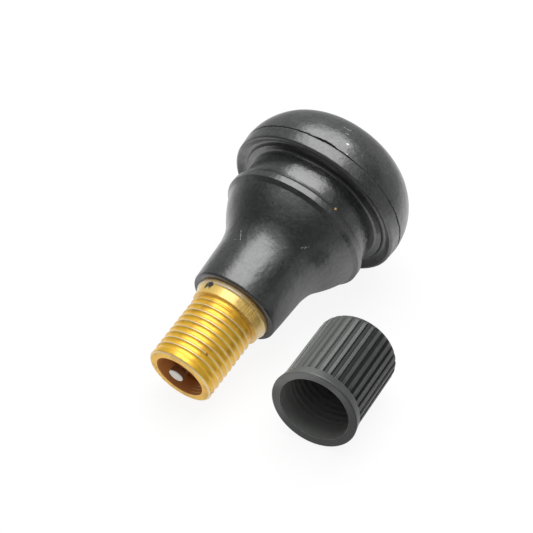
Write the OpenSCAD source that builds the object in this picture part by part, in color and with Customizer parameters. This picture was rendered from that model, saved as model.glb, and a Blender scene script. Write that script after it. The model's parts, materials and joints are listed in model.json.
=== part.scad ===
// Snap-in tyre valve: a brass stem in a moulded rubber body, with its valve core in place and its cap beside it.
// The valve lies on its side on a flat surface, with the head and the tip touching it.
// The origin is on the stem's axis, in the plane where the head's lip meets the wheel rim.
// In the valve's own frame +Z runs along the axis towards the tip, and lay_valve() turns it onto its side.

/* [Head and rim groove] */
// Diameter of the neck that fills the rim's hole
neck_d = 15.9; // [15.2:0.1:16.5]
// Width of the groove that takes the rim
groove_w = 3.3; // [2.4:0.05:4.5]
// Diameter of the head's lip, which meets the rim
lip_d = 20.4; // [19.2:0.1:20.6]
// Largest diameter of the head, at the mould's parting line
head_d = 20.6; // [20.4:0.1:22]
// Height from the lip's face to the parting line
parting_h = 1.6; // [1:0.1:2.2]
// Height of the head from the lip's face to its end
head_h = 8.2; // [7:0.1:10]
// Diameter of the flat at the head's end
end_flat_d = 8; // [6.5:0.1:10]
// Diameter of the shelf round the neck, inside the lip
shelf_d = 17.5; // [17:0.1:18]
// Depth of the shelf below the lip's face
shelf_h = 0.15; // [0.05:0.05:0.3]
// Depth of the hollow ring between the shelf and the lip
hollow_h = 0.6; // [0.4:0.05:0.8]
// Diameter of the air hole through the rubber of the head
air_hole_d = 4.2; // [3.8:0.1:5]

/* [Ridge, bell and sleeve] */
// Diameter of the ridge that snaps through the rim's hole
ridge_d = 17; // [16.8:0.1:18]
// Width of the ridge
ridge_w = 1.4; // [0.9:0.05:1.6]
// Width of the ridge's flat band, from which it slopes to the bell
ridge_band_w = 0.8; // [0.4:0.05:0.85]
// Rounding of the edge between the ridge's flank and its band
ridge_round = 0.12; // [0.05:0.01:0.15]
// Diameter of the bell where it meets the ridge
bell_d = 16.2; // [15.2:0.1:16.7]
// Height of the bell, from the ridge to the sleeve
bell_h = 5.7; // [5:0.05:8]
// Diameter of the sleeve where the bell starts
sleeve_root_d = 10.8; // [10.5:0.1:11.6]
// Diameter of the sleeve at its end
sleeve_end_d = 10.24; // [9.8:0.02:10.5]
// Length of the sleeve
sleeve_h = 5.3; // [4:0.1:8]
// Rounding of the rubber's edges
rubber_round = 0.3; // [0.2:0.05:0.45]

/* [Brass stem] */
// Outer diameter of the cap thread
thread_d = 7.7; // [7.5:0.05:7.9]
// Length of the cap thread, with the tip's rounding
thread_h = 8; // [7.2:0.1:11]
// Rounding of the tip's outer edge
tip_round = 0.3; // [0.15:0.05:0.5]
// Width of the relief groove behind the thread
relief_w = 0.4; // [0.3:0.05:0.6]
// Depth of the relief groove
relief_depth = 0.2; // [0.2:0.05:0.5]
// Length of the smooth shoulder behind the thread
shoulder_h = 1.2; // [0.9:0.05:1.6]
// Diameter of the shoulder at its thread end
shoulder_d = 8.1; // [7.95:0.02:8.2]
// Diameter of the shoulder next to the flange
shoulder_root_d = 8.42; // [8.24:0.02:8.48]
// Length of the slope from the shoulder up to the flange
flange_slope_h = 0.15; // [0.05:0.05:0.2]
// Diameter of the flange that the sleeve is moulded against
flange_d = 8.74; // [8.5:0.02:9]
// Length of the flange that stands out of the rubber
flange_h = 0.4; // [0.3:0.05:0.8]
// Depth of the flange inside the rubber
flange_seat = 0.6; // [0.4:0.05:1]
// Diameter of the stem inside the rubber
root_d = 7.2; // [6.8:0.1:7.8]
// Depth of the bonding grooves round the root
bond_depth = 0.4; // [0.2:0.05:0.5]
// Width of each bonding groove
bond_w = 0.9; // [0.6:0.1:1.2]
// Number of bonding grooves
bond_count = 4; // [2:1:5]
// Diameter of the foot that anchors the stem in the head
foot_d = 9.2; // [8.6:0.1:10]
// Thickness of the foot
foot_h = 1.6; // [1:0.1:2.2]
// Depth of the stem's lower end below the lip's face
foot_depth = 3; // [2.4:0.1:4]

/* [Bore of the stem] */
// Diameter of the mouth
mouth_d = 5.7; // [5.5:0.05:6.2]
// Depth of the mouth's taper
mouth_h = 1.6; // [0.4:0.1:1.8]
// Diameter of the bore that takes the core's thread
core_bore_d = 5; // [4.9:0.02:5.2]
// Depth of that bore
core_bore_h = 9.5; // [8.8:0.1:10.4]
// Height of the cone that the core's gasket closes
cone_h = 1.4; // [1.1:0.1:1.8]
// Diameter of the air bore below the cone
air_bore_d = 3.7; // [3.5:0.05:4]

/* [Valve core] */
// Diameter of the pin
pin_d = 0.9; // [0.8:0.02:1]
// Diameter of the pin's head
pin_head_d = 1.7; // [1.4:0.05:2]
// Height of the pin's head
pin_head_h = 0.8; // [0.6:0.05:1]
// Depth of the pin's head below the tip, less than zero where it stands proud
pin_recess = -0.1; // [-0.2:0.05:0.4]
// Travel of the pin
pin_travel = 1.5; // [1:0.1:1.8]
// Height of the plug's bridge
bridge_h = 2.2; // [1.6:0.1:2.5]
// Width of the bridge, which the core key straddles
bridge_w = 1.8; // [1.6:0.05:2.2]
// Thickness of the plug's lip round the swivel
swivel_lip_h = 0.8; // [0.5:0.05:1]
// Thickness of the barrel's swivel flange
swivel_flange_h = 0.45; // [0.3:0.05:0.6]
// Thickness of the washer that presses on the gasket
washer_h = 0.5; // [0.35:0.05:0.7]
// Depth of the gasket's upper face below the top of the cone
gasket_drop = 0.25; // [0.15:0.05:0.4]
// Thickness of the barrel's floor, which carries the spring
barrel_floor_h = 0.5; // [0.35:0.05:0.7]
// Height of the barrel's skirt below the gasket
skirt_h = 1.9; // [1.5:0.05:2.4]
// Wall of the pressed brass of the barrel
barrel_wall = 0.32; // [0.25:0.01:0.4]
// Outer diameter of the spring
spring_d = 1.7; // [1.6:0.02:1.9]
// Diameter of the spring's wire
wire_d = 0.26; // [0.2:0.01:0.28]
// Number of turns in the spring
spring_turns = 7; // [5:1:9]
// Diameter of the pin's stop, which the spring bears on
stop_d = 1.6; // [1.5:0.02:1.75]
// Height of the pin's stop
stop_h = 0.4; // [0.3:0.05:0.6]
// Thickness of the sealing washer
seal_h = 0.7; // [0.5:0.05:1]
// Thickness of the cup's floor and wall
cup_wall = 0.3; // [0.2:0.02:0.4]
// Height of the rivet on the pin's lower end
rivet_h = 0.4; // [0.3:0.05:0.6]

/* [Cap] */
// Length of the cap
cap_h = 10.7; // [9.6:0.1:13]
// Thickness of the cap's closed end
cap_end_h = 1.8; // [1.2:0.1:2.4]
// Diameter of the plain collar at the mouth
collar_d = 9.68; // [9.5:0.02:10.4]
// Diameter of the collar next to the ribs
collar_top_d = 9.32; // [9.2:0.02:9.5]
// Rounding of the collar's edges
collar_round = 0.12; // [0.05:0.01:0.2]
// Height of the collar
collar_h = 1.2; // [0.8:0.1:2]
// Diameter over the ribs, next to the collar
rib_d = 9.14; // [9:0.02:9.4]
// Diameter over the ribs, at the closed end
rib_end_d = 9.08; // [8.7:0.02:9.1]
// Depth of the grooves between the ribs
rib_depth = 0.28; // [0.15:0.01:0.35]
// Number of ribs
rib_count = 32; // [20:1:40]
// Share of the pitch that each rib takes
rib_share = 0.5; // [0.4:0.05:0.6]
// Rounding of the closed end
cap_round = 1; // [0.7:0.05:1.1]
// Height of the plain band at the closed end, where the grooves stop
end_band_h = 0.7; // [0.5:0.05:1]
// Distance of the cap's mouth from the valve, across its axis
cap_side = 14.72; // [13:0.1:20]
// Distance of the cap's mouth behind the tip, along the surface
cap_back = 3; // [0:0.1:8]
// Turn of the cap's axis out of line with the valve
cap_yaw = 6.5; // [-10:0.1:15]

/* [Clearances] */
// Play between the cap's bore and the stem's thread
cap_play = 0.05; // [0.02:0.01:0.1]
// Play between the plug and the bore that it screws into
plug_play = 0.05; // [0.03:0.01:0.1]
// Play of the pin in the bridge
pin_play = 0.08; // [0.04:0.01:0.1]
// Play of the barrel's swivel in the plug
swivel_play = 0.06; // [0.04:0.01:0.1]
// Play round the spring in the barrel
spring_play = 0.1; // [0.06:0.01:0.15]
// Play left at each end of the spring
spring_end_play = 0.02; // [0.01:0.01:0.05]
// Gap left between the sealing washer and the barrel's lip
seal_play = 0.03; // [0.01:0.01:0.05]
// Gap left between the gasket and the cone
gasket_play = 0.03; // [0.01:0.01:0.05]
// Gap under the pin's head when it is pressed home
head_play = 0.25; // [0.15:0.05:0.4]
// Gap over the pin's stop at rest
stop_play = 0.3; // [0.2:0.05:0.5]
// Air gap round the pin in the barrel's floor
floor_air = 0.17; // [0.12:0.01:0.25]
// Air gap round the barrel's skirt and the cup in the air bore
bore_air = 0.22; // [0.15:0.01:0.3]

/* [Hidden] */
$fn = 72;

// Colours, as the photograph shows them
rubber_colour = "#202022";
brass_colour = "#d0a030";
core_brass_colour = "#b98f45";
steel_colour = "#b8bcc0";
seal_colour = "#8a3a2a";
cap_colour = "#3a3b3d";

// Steps in each rounded stretch of an outline
arc_steps = 6;
curve_steps = 14;
// Overlap of a cutting tool past the face that it opens
cut = 0.5;

// Levels on the valve's axis, from the lip's face at zero
ridge_z = groove_w;
bell_z = ridge_z + ridge_w;
sleeve_z = bell_z + bell_h;
face_z = sleeve_z + sleeve_h;
shoulder_z = face_z + flange_h;
relief_z = shoulder_z + shoulder_h;
thread_z = relief_z + relief_w;
tip_z = thread_z + thread_h;
cone_top_z = tip_z - core_bore_h;
cone_end_z = cone_top_z - cone_h;

// Radii that several outlines share
neck_r = neck_d / 2;
head_r = head_d / 2;
lip_r = lip_d / 2;
ridge_r = ridge_d / 2;
bell_r = bell_d / 2;
thread_r = thread_d / 2;
flange_r = flange_d / 2;
root_r = root_d / 2;
core_bore_r = core_bore_d / 2;
air_bore_r = air_bore_d / 2;
pin_r = pin_d / 2;

// The core, stacked up from the cone that its gasket closes
function cone_r(z) = air_bore_r + (core_bore_r - air_bore_r) * (z - cone_end_z) / cone_h;
gasket_top_z = cone_top_z - gasket_drop;
gasket_end_z = cone_end_z + gasket_play;
plug_z = gasket_top_z + washer_h;
swivel_z = plug_z + swivel_lip_h + swivel_play;
barrel_top_z = swivel_z + swivel_flange_h;
barrel_bore_r = spring_d / 2 + spring_play;
barrel_neck_r = barrel_bore_r + barrel_wall;
swivel_flange_r = barrel_neck_r + barrel_wall;
chamber_r = swivel_flange_r + swivel_play;
skirt_r = air_bore_r - bore_air;
lip_z = gasket_end_z - skirt_h;
seal_z = lip_z - seal_play;
cup_z = seal_z - seal_h;
rivet_z = cup_z - cup_wall;
plug_r = core_bore_r - plug_play;
pin_top_z = tip_z - pin_recess;
plug_top_z = pin_top_z - pin_head_h - pin_travel - head_play;
bridge_z = plug_top_z - bridge_h;
stop_z = bridge_z - stop_play - stop_h;
floor_hole_r = pin_r + floor_air;

// How the valve lies: the head's parting line and the end of the thread both touch the surface
tilt = atan((head_r - thread_r) / (tip_z - tip_round + parting_h));
floor_z = -(head_r - parting_h * tan(tilt)) * cos(tilt);

// How the cap lies: its collar and the edge of its closed end both touch the surface
cap_bore_r = thread_r + cap_play;
collar_r = collar_d / 2;
rib_r = rib_d / 2;
rib_end_r = rib_end_d / 2;
collar_top_r = collar_top_d / 2;
cap_tilt = atan((collar_r - rib_end_r) / (cap_h - cap_round - collar_round));
cap_mouth_z = floor_z + (collar_r + collar_round * tan(cap_tilt)) * cos(cap_tilt);
cap_mouth_y = -tip_z * cos(tilt) + cap_back;

// Points along a round stretch of an outline, from one angle to another
function arc(centre, r, from, to) =
    [for (i = [0:arc_steps]) centre + r * [cos(from + (to - from) * i / arc_steps),
                                           sin(from + (to - from) * i / arc_steps)]];

// Points along a smooth stretch that leaves a for b and comes into d from c
function curve(a, b, c, d) =
    [for (i = [0:curve_steps]) let (t = i / curve_steps, u = 1 - t)
        u * u * u * a + 3 * u * u * t * b + 3 * u * t * t * c + t * t * t * d];

// Points round the dome, from the parting line to the flat at its end
function dome() =
    [for (i = [0:curve_steps]) let (a = 90 * i / curve_steps)
        [end_flat_d / 2 + (head_r - end_flat_d / 2) * cos(a), -parting_h - (head_h - parting_h) * sin(a)]];

// Turns the valve from its own frame onto its side
module lay_valve() {
    rotate([90 + tilt, 0, 0]) children();
}

// Lays the cap beside it, with the mouth towards the same side as the tip
module lay_cap() {
    translate([cap_side, cap_mouth_y, cap_mouth_z])
        rotate([0, 0, cap_yaw])
            rotate([-90 - cap_tilt, 0, 0])
                children();
}

// Outline of the rubber, filled to the axis
module rubber_outline() {
    sleeve_r = sleeve_end_d / 2;
    sleeve_root_r = sleeve_root_d / 2;
    // The bell leaves the sleeve almost straight, then swells as a cone up to the ridge
    bell_swell = bell_r - sleeve_root_r;
    bell = curve([sleeve_root_r, sleeve_z], [sleeve_root_r + bell_swell * 0.16, sleeve_z - bell_h * 0.54],
                 [bell_r - bell_swell * 0.58, bell_z + bell_h * 0.61], [bell_r, bell_z]);
    // The ridge is a barb: a flank square to the groove, a flat band, and a slope that leads it through the hole
    ridge_edge = [ridge_r - ridge_round, ridge_z + ridge_round];
    ridge = concat([[ridge_r, ridge_z + ridge_band_w]], arc(ridge_edge, ridge_round, 0, -90), [[neck_r, ridge_z]]);
    // The hollow ring falls off the shelf and rises to the lip
    shelf_r = shelf_d / 2;
    hollow = curve([shelf_r, -shelf_h], [shelf_r + shelf_h, -hollow_h * 4 / 3],
                   [lip_r - 3 * rubber_round, -hollow_h], [lip_r - rubber_round, 0]);
    polygon(concat(
        [[0, face_z]],
        arc([sleeve_r - rubber_round, face_z - rubber_round], rubber_round, 90, 0),
        bell,
        ridge,
        arc([neck_r + rubber_round, rubber_round - shelf_h], rubber_round, 180, 270),
        [for (i = [0:curve_steps - 1]) hollow[i]],
        arc([lip_r - rubber_round, -rubber_round], rubber_round, 90, 0),
        dome(),
        [[0, -head_h]]
    ));
}

// Outline of the stem, filled to the axis
module stem_outline() {
    tip_edge_r = thread_r - tip_round;
    relief_r = thread_r - relief_depth;
    bond_r = root_r - bond_depth;
    bond_top_z = face_z - flange_seat;
    foot_z = foot_h - foot_depth;
    bond_pitch = (bond_top_z - foot_z) / (bond_count + 1);
    difference() {
        polygon(concat(
            [[0, tip_z]],
            arc([tip_edge_r, tip_z - tip_round], tip_round, 90, 0),
            [[thread_r, thread_z], [relief_r, thread_z], [relief_r, relief_z], [shoulder_d / 2, relief_z],
             [shoulder_root_d / 2, shoulder_z + flange_slope_h], [flange_r, shoulder_z],
             [flange_r, bond_top_z], [root_r, bond_top_z], [root_r, foot_z],
             [foot_d / 2, foot_z], [foot_d / 2, -foot_depth], [0, -foot_depth]]
        ));
        for (i = [1:bond_count])
            translate([bond_r, bond_top_z - i * bond_pitch - bond_w / 2])
                square([bond_depth + cut, bond_w]);
    }
}

// Outline of the stem's bore: mouth, core bore, cone and air bore
module stem_bore_outline() {
    mouth_r = mouth_d / 2;
    mouth_flare = (mouth_r - core_bore_r) / mouth_h;
    polygon([
        [0, tip_z + cut], [mouth_r + mouth_flare * cut, tip_z + cut], [core_bore_r, tip_z - mouth_h],
        [core_bore_r, cone_top_z], [air_bore_r, cone_end_z], [air_bore_r, -foot_depth - cut], [0, -foot_depth - cut]
    ]);
}

// Moulded rubber: domed head, rim groove, ridge, bell and sleeve, bonded to the stem
module rubber_body() {
    color(rubber_colour) lay_valve() rotate_extrude() difference() {
        rubber_outline();
        stem_outline();
        translate([0, -head_h - cut]) square([air_hole_d / 2, head_h + cut]);
    }
}

// Turned brass stem
module brass_stem() {
    color(brass_colour) lay_valve() rotate_extrude() difference() {
        stem_outline();
        stem_bore_outline();
    }
}

// Threaded plug, with a bridge that guides the pin and two side openings that let the air past
module core_plug() {
    swivel_hole_r = barrel_neck_r + swivel_play;
    color(core_brass_colour) lay_valve() difference() {
        rotate_extrude() polygon([
            [pin_r + pin_play, plug_top_z], [plug_r, plug_top_z], [plug_r, plug_z], [swivel_hole_r, plug_z],
            [swivel_hole_r, plug_z + swivel_lip_h], [chamber_r, plug_z + swivel_lip_h], [chamber_r, bridge_z],
            [pin_r + pin_play, bridge_z]
        ]);
        for (side = [-1, 1])
            translate([0, side * (bridge_w / 2 + plug_r), bridge_z + bridge_h / 2 + cut / 2])
                cube([2 * plug_r + cut, 2 * plug_r, bridge_h + cut], center = true);
    }
}

// Barrel: swivel flange in the plug, washer and groove for the gasket, floor for the spring, and the lip below
module core_barrel() {
    washer_r = cone_r(gasket_top_z) - gasket_play;
    groove_r = barrel_neck_r + barrel_wall / 2;
    skirt_bore_r = skirt_r - barrel_wall;
    skirt_floor_z = gasket_end_z - barrel_floor_h;
    color(core_brass_colour) lay_valve() rotate_extrude() polygon([
        [barrel_bore_r, barrel_top_z], [swivel_flange_r, barrel_top_z], [swivel_flange_r, swivel_z],
        [barrel_neck_r, swivel_z], [barrel_neck_r, plug_z], [washer_r, plug_z], [washer_r, gasket_top_z],
        [groove_r, gasket_top_z], [groove_r, gasket_end_z], [skirt_r, gasket_end_z], [skirt_r, lip_z],
        [skirt_bore_r, lip_z], [skirt_bore_r, skirt_floor_z], [floor_hole_r, skirt_floor_z],
        [floor_hole_r, gasket_end_z], [barrel_bore_r, gasket_end_z]
    ]);
}

// Tapered gasket in the barrel's groove, against the stem's cone
module barrel_gasket() {
    groove_r = barrel_neck_r + barrel_wall / 2;
    color(seal_colour) lay_valve() rotate_extrude() polygon([
        [groove_r, gasket_top_z], [cone_r(gasket_top_z) - gasket_play, gasket_top_z],
        [cone_r(gasket_end_z) - gasket_play, gasket_end_z], [groove_r, gasket_end_z]
    ]);
}

// Pin: pressed head, stop for the spring, and a rivet under the cup
module core_pin() {
    head_r = pin_head_d / 2;
    crown_h = pin_head_h / 4;
    rivet_r = stop_d / 2;
    color(steel_colour) lay_valve() rotate_extrude() polygon([
        [0, pin_top_z], [head_r - crown_h, pin_top_z], [head_r, pin_top_z - crown_h],
        [head_r, pin_top_z - pin_head_h], [pin_r, pin_top_z - pin_head_h],
        [pin_r, stop_z + stop_h], [stop_d / 2, stop_z + stop_h], [stop_d / 2, stop_z], [pin_r, stop_z],
        [pin_r, rivet_z], [rivet_r, rivet_z], [rivet_r - rivet_h / 2, rivet_z - rivet_h], [0, rivet_z - rivet_h]
    ]);
}

// Cup on the pin's lower end, with a rim round the sealing washer
module plunger_cup() {
    rim_z = seal_z - seal_h / 2;
    cup_r = skirt_r;
    color(core_brass_colour) lay_valve() rotate_extrude() polygon([
        [pin_r, rivet_z], [cup_r, rivet_z], [cup_r, rim_z], [cup_r - cup_wall, rim_z], [cup_r - cup_wall, cup_z],
        [pin_r, cup_z]
    ]);
}

// Sealing washer in the cup
module plunger_seal() {
    color(seal_colour) lay_valve() rotate_extrude()
        translate([pin_r, cup_z])
            square([skirt_r - cup_wall - pin_r, seal_h]);
}

// Compression spring round the pin, from the barrel's floor to the pin's stop, with a closed turn at each end
module core_spring() {
    sides = 6;
    ring_count = spring_turns * 16;
    coil_r = (spring_d - wire_d) / 2;
    low_z = gasket_end_z + spring_end_play + wire_d / 2;
    high_z = stop_z - spring_end_play - wire_d / 2;
    open_turns = spring_turns - 2;
    // Closed end turns climb by one wire, and the turns between share the rest of the height
    function climb(turn) = turn < 1 ? turn * wire_d
        : turn > spring_turns - 1 ? high_z - low_z - (spring_turns - turn) * wire_d
        : wire_d + (turn - 1) * (high_z - low_z - 2 * wire_d) / open_turns;
    points = [for (i = [0:ring_count], k = [0:sides - 1])
        let (turn = i * spring_turns / ring_count, a = 360 * turn, b = 360 * k / sides, r = coil_r + wire_d / 2 * cos(b))
            [r * cos(a), r * sin(a), low_z + climb(turn) + wire_d / 2 * sin(b)]];
    walls = [for (i = [0:ring_count - 1], k = [0:sides - 1])
        let (next = (k + 1) % sides, here = i * sides, there = here + sides)
            [here + k, there + k, there + next, here + next]];
    ends = [[for (k = [0:sides - 1]) k], [for (k = [sides - 1:-1:0]) ring_count * sides + k]];
    color(steel_colour) lay_valve() polyhedron(points, concat(walls, ends));
}

// Moulded cap: flared collar round the mouth, straight ribs, closed end with a plain rounded edge
module cap() {
    groove_r = rib_r - rib_depth;
    groove_end_r = rib_end_r - rib_depth;
    rib_w = rib_share * 360 / rib_count;
    color(cap_colour) lay_cap() difference() {
        union() {
            rotate_extrude() polygon(concat(
                [[0, 0]],
                arc([collar_r - collar_round, collar_round], collar_round, -90, 0),
                arc([collar_top_r - collar_round, collar_h - collar_round], collar_round, 0, 90),
                [[groove_r, collar_h]],
                arc([groove_end_r - cap_round, cap_h - cap_round], cap_round, 0, 90),
                [[0, cap_h]]
            ));
            intersection() {
                rotate_extrude() polygon(concat(
                    [[0, collar_h / 2], [rib_r, collar_h / 2], [rib_r, collar_h]],
                    arc([rib_end_r - cap_round, cap_h - cap_round], cap_round, 0, 90),
                    [[0, cap_h]]
                ));
                union() {
                    linear_extrude(cap_h) for (i = [0:rib_count - 1])
                        rotate(i * 360 / rib_count)
                            polygon([[0, 0], rib_d * [cos(rib_w / 2), -sin(rib_w / 2)],
                                     rib_d * [cos(rib_w / 2), sin(rib_w / 2)]]);
                    translate([0, 0, cap_h - end_band_h]) cylinder(r = rib_d, h = end_band_h + cut);
                }
            }
        }
        translate([0, 0, -cut]) cylinder(r = cap_bore_r, h = cap_h - cap_end_h + cut);
    }
}

rubber_body();
brass_stem();
core_plug();
core_barrel();
barrel_gasket();
core_pin();
plunger_cup();
plunger_seal();
core_spring();
cap();
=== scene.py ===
"""Dresses a snap-in tyre valve and its taken-off cap, and sets them on a white studio floor."""
import json
from math import cos, pi, radians, sin

import bmesh
import bpy
import numpy as np
from bpy.props import FloatProperty, FloatVectorProperty, IntProperty, PointerProperty
from mathutils import Matrix, Vector, noise


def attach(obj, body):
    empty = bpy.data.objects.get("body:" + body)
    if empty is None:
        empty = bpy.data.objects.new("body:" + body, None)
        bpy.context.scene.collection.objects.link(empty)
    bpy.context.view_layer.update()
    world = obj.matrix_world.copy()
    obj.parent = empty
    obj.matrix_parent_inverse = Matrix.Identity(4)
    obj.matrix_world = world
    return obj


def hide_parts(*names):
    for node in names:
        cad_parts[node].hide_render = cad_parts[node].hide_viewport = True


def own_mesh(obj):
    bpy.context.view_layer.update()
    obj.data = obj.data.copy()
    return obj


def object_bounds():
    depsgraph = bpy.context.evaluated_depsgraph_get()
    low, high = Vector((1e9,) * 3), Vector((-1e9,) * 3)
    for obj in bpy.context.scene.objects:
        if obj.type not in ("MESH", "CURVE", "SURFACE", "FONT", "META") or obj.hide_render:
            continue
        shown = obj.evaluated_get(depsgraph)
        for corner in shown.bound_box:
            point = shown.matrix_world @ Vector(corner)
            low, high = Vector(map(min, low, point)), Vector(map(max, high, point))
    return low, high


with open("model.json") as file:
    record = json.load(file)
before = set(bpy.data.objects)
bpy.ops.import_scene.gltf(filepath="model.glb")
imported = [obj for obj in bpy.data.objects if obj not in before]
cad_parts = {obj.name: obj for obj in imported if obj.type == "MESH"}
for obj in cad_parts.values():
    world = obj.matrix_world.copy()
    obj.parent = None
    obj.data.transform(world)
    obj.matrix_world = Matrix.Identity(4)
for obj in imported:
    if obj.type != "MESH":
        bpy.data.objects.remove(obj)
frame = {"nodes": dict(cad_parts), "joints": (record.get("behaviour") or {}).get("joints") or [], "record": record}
CAD_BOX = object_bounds()

bl_info = {
    "name": "Tyre valve",
    "version": (1, 0, 0),
    "blender": (4, 5, 0),
    "location": "3D View > Sidebar > Tyre valve",
    "description": "Makes a snap-in tyre valve with its core and cap, and a studio for it",
    "category": "Object",
}

MM = 0.001
WELD = 1e-6
MOUNTS = {mount["name"]: mount for mount in frame["record"]["mounts"]}
UP = Vector((0, 0, 1))


# Places taken from the frame

def placing(origin, axis, across):
    """Matrix that stands a piece's own Z along axis and its X along across."""
    columns = (across, axis.cross(across), axis)
    turn = Matrix([[column[row] for column in columns] for row in range(3)])
    return Matrix.Translation(origin) @ turn.to_4x4()


def reach(node, axis):
    """Lowest and highest place of a CAD node along an axis through the origin."""
    heights = [vertex.co.dot(axis) for vertex in frame["nodes"][node].data.vertices]
    return min(heights), max(heights)


TO_TIP = Vector(MOUNTS["rim_hole"]["axis"]).normalized()
VALVE = placing(Vector(), TO_TIP, Vector((1, 0, 0)))
FOOT_Z, TIP_Z = reach("brass_stem", TO_TIP)
HEAD_END_Z, FACE_Z = reach("rubber_body", TO_TIP)
PIN_LOW_Z, PIN_TOP_Z = reach("core_pin", TO_TIP)
SPRING_LOW_Z, SPRING_HIGH_Z = reach("core_spring", TO_TIP)
PRESS = frame["joints"][0]
THREAD_R = MOUNTS["cap_thread"]["dims"]["r_mm"] * MM

SOCKET = MOUNTS["cap_socket"]
OUT_OF_CAP = Vector(SOCKET["axis"]).normalized()
CAP_BORE_R = SOCKET["dims"]["r_mm"] * MM
CAP_BORE_H = SOCKET["dims"]["length_mm"] * MM
CAP_MOUTH = Vector(SOCKET["pos_m"]) + OUT_OF_CAP * CAP_BORE_H / 2
CAP = placing(CAP_MOUTH, -OUT_OF_CAP, UP.cross(OUT_OF_CAP).normalized())
CAP_LOW, CAP_HIGH = reach("cap", OUT_OF_CAP)
CAP_H = CAP_HIGH - CAP_LOW


# Sizes and colours that a user would change

def length(name, description, millimetres):
    return FloatProperty(
        name=name, description=description, default=millimetres * MM, unit="LENGTH", precision=5
    )


def count(name, description, number):
    return IntProperty(name=name, description=description, default=number, min=1)


def share(name, description, number):
    return FloatProperty(name=name, description=description, default=number, subtype="FACTOR", min=0, max=1)


def turn(name, description, angle):
    return FloatProperty(name=name, description=description, default=radians(angle), unit="ROTATION")


def colour(name, description, red, green, blue):
    return FloatVectorProperty(
        name=name, description=description, default=(red, green, blue, 1), size=4, subtype="COLOR",
        min=0, max=1,
    )


def amount(name, description, number, unit="NONE"):
    return FloatProperty(name=name, description=description, default=number, unit=unit)


class RubberSizes(bpy.types.PropertyGroup):
    neck_d: length("Neck", "Diameter of the neck that fills the rim's hole", 15.9)
    groove_w: length("Groove", "Width of the groove that takes the rim", 3.3)
    notch_w: length("Notch width", "Width of the fine notch where the neck meets the ridge", 0.52)
    notch_depth: length("Notch depth", "Depth of that notch", 0.24)
    lip_d: length("Lip", "Diameter of the head's lip", 20.4)
    head_d: length("Head", "Largest diameter of the head, at the parting line", 20.6)
    parting_h: length("Parting height", "Height from the lip's face to the parting line", 1.6)
    end_flat_d: length("End flat", "Diameter of the flat at the head's end", 8)
    shelf_d: length("Shelf", "Diameter of the shelf round the neck", 17.5)
    shelf_h: length("Shelf depth", "Depth of the shelf below the lip's face", 0.15)
    hollow_h: length("Hollow", "Depth of the hollow ring under the head", 0.6)
    air_hole_d: length("Air hole", "Diameter of the air hole through the head", 4.2)
    ridge_d: length("Ridge", "Diameter of the ridge", 17)
    ridge_w: length("Ridge width", "Width of the ridge", 1.4)
    ridge_band_w: length("Ridge band", "Width of the ridge's flat band", 0.8)
    ridge_round: length("Ridge edge", "Rounding of the edge between the ridge's flank and its band", 0.12)
    ridge_slope_h: length("Ridge slope", "Height of the slope between the ridge's band and the bell", 0.42)
    bell_d: length("Bell", "Diameter of the bell where it meets the ridge", 16.2)
    bell_h: length("Bell height", "Height of the bell, from the ridge to the sleeve", 5.7)
    sleeve_root_d: length("Sleeve root", "Diameter of the sleeve where the bell starts", 10.8)
    sleeve_end_d: length("Sleeve end", "Diameter of the sleeve at its end", 10.24)
    edge_round: length("Edges", "Rounding of the rubber's edges", 0.3)
    crack_w: length("Crack width", "Half width of the crack along the parting line", 0.07)
    crack_depth: length("Crack depth", "Depth of that crack", 0.2)
    tear_w: length("Tear width", "Half width that the tear adds to the crack", 0.06)
    tear_depth: length("Tear depth", "Depth that the tear adds", 0.2)
    tear_at: turn("Tear", "Angle of the tear round the head", 79)
    tear_reach: turn("Tear reach", "Half the angle that the tear takes", 8)
    faint_at: turn("Faint crack", "Angle at which the crack is faint", 40)
    faint_reach: turn("Faint reach", "Half the angle over which it is faint", 22)
    unevenness: length("Unevenness", "How far the moulded surface wanders", 0.05)
    uneven_w: length("Unevenness width", "Width of each rise and fall of that surface", 4)
    columns: count("Columns", "Faces round the body", 440)


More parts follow.
